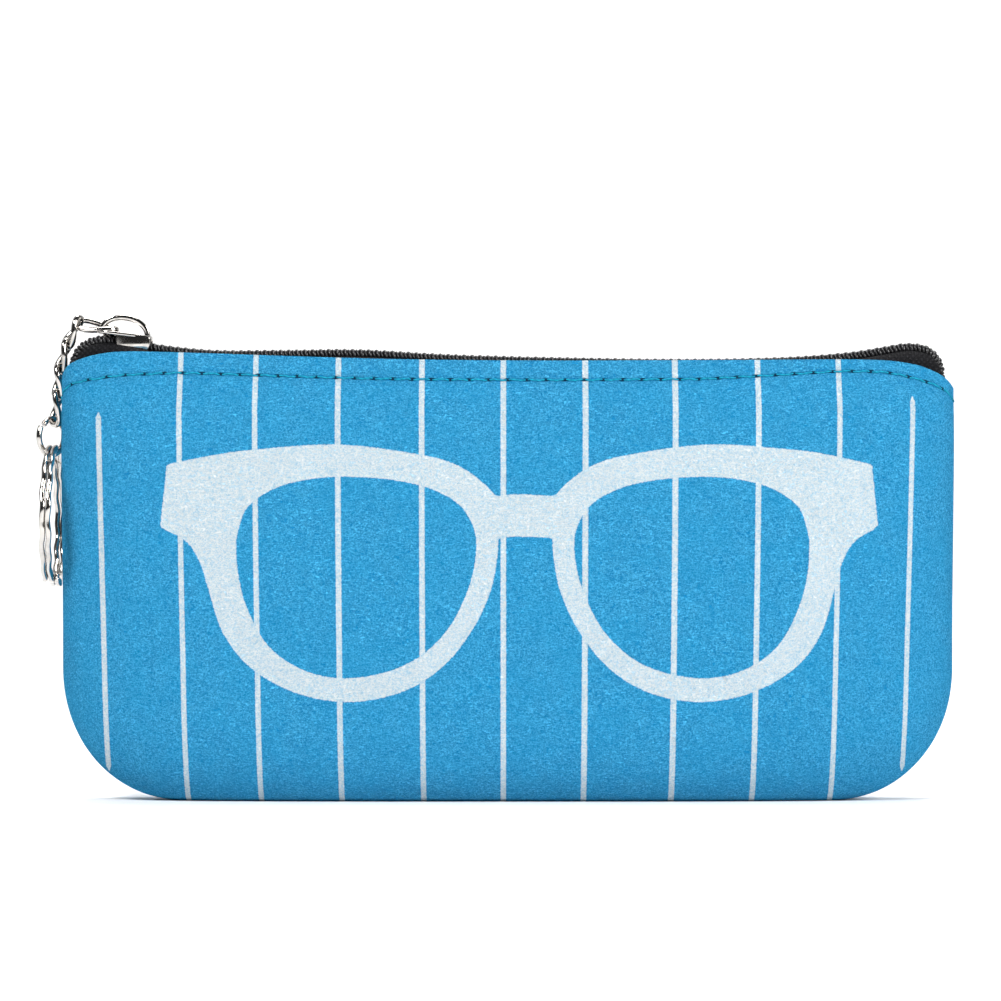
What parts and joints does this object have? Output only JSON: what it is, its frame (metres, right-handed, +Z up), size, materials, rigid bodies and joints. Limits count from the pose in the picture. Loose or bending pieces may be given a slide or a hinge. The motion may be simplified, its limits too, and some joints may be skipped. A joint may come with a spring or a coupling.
{
  "type": "eyeglasses case",
  "caption": "Soft felt eyeglasses pouch with a coil zipper along the top, a slider, a short curb chain and a split key ring at one end.",
  "frame": {"origin": "on the surface the case stands on, midway between its side seams and between its two felt panels", "axes": "+Z up, the printed front faces -Y, +X from the closed slider end to the far end"},
  "size_m": [0.1942, 0.0322, 0.1023],
  "materials": {
    "blue_felt": "fuzzy polyester felt",
    "blue_thread": "twisted sewing thread",
    "black_tape": "woven polyester tape",
    "black_coil": "moulded nylon filament",
    "black_cord": "knitted filler cord",
    "nickel": "polished nickel plate"
  },
  "bodies": {
    "pouch": {"front_felt_panel": "blue_felt", "back_felt_panel": "blue_felt", "side_and_bottom_seam_thread": "blue_thread"},
    "front_lip": {"front_zipper_tape": "black_tape", "front_zipper_coil": "black_coil", "front_coil_filler_cord": "black_cord", "front_topstitch_thread": "blue_thread"},
    "back_lip": {"back_zipper_tape": "black_tape", "back_zipper_coil": "black_coil", "back_coil_filler_cord": "black_cord", "back_topstitch_thread": "blue_thread"},
    "slider": {"slider_body": "nickel"},
    "link_1": {"chain_link_1": "nickel"},
    "link_2": {"chain_link_2": "nickel"},
    "link_3": {"chain_link_3": "nickel"},
    "link_4": {"chain_link_4": "nickel"},
    "link_5": {"chain_link_5": "nickel"},
    "jump_ring": {"jump_ring": "nickel"},
    "split_ring": {"split_ring": "nickel"}
  },
  "joints": [
    {"name": "slider_slide", "type": "slide", "parent": "pouch", "child": "slider", "axis": [0.9999, 0, -0.0117], "range_m": [0, 0.15]},
    {"name": "front_lip_opens", "type": "hinge", "parent": "pouch", "child": "front_lip", "pos_m": [0, 0, 0.004], "axis": [1, 0, 0], "range_deg": [0, 9.2], "deforming": ["front_felt_panel", "front_zipper_tape", "front_zipper_coil", "front_coil_filler_cord", "front_topstitch_thread"]},
    {"name": "back_lip_opens", "type": "hinge", "parent": "pouch", "child": "back_lip", "pos_m": [0, 0, 0.004], "axis": [-1, 0, 0], "range_deg": [0, 9.2], "deforming": ["back_felt_panel", "back_zipper_tape", "back_zipper_coil", "back_coil_filler_cord", "back_topstitch_thread"]},
    {"name": "link_1_lifts", "type": "hinge", "parent": "slider", "child": "link_1", "pos_m": [-0.0835, 0, 0.099], "axis": [0, 1, 0], "range_deg": [0, 70]},
    {"name": "link_2_swings", "type": "hinge", "parent": "link_1", "child": "link_2", "pos_m": [-0.0903, 0, 0.099], "axis": [0, 1, 0], "range_deg": [0, 55]},
    {"name": "link_3_swings", "type": "hinge", "parent": "link_2", "child": "link_3", "pos_m": [-0.09343, 0, 0.09454], "axis": [0.4698, 0.8192, -0.329], "range_deg": [0, 40]},
    {"name": "link_4_swings", "type": "hinge", "parent": "link_3", "child": "link_4", "pos_m": [-0.09554, 0, 0.09093], "axis": [-0.8112, 0.5736, 0.114], "range_deg": [0, 40]},
    {"name": "link_5_swings", "type": "hinge", "parent": "link_4", "child": "link_5", "pos_m": [-0.09649, 0, 0.0842], "axis": [0.568, 0.8192, -0.0798], "range_deg": [0, 40]},
    {"name": "jump_ring_swings", "type": "hinge", "parent": "link_5", "child": "jump_ring", "pos_m": [-0.09668, 0, 0.07875], "axis": [0.5732, 0.8192, -0.02], "range_deg": [0, 35]},
    {"name": "split_ring_swings", "type": "hinge", "parent": "jump_ring", "child": "split_ring", "pos_m": [-0.0977, 0, 0.07348], "axis": [1, 0, 0], "range_deg": [-12, 12]}
  ],
  "couplings": [
    {"joint": "front_lip_opens", "follows": "slider_slide", "rad_per_m": 1.0472},
    {"joint": "back_lip_opens", "follows": "slider_slide", "rad_per_m": 1.0472}
  ]
}
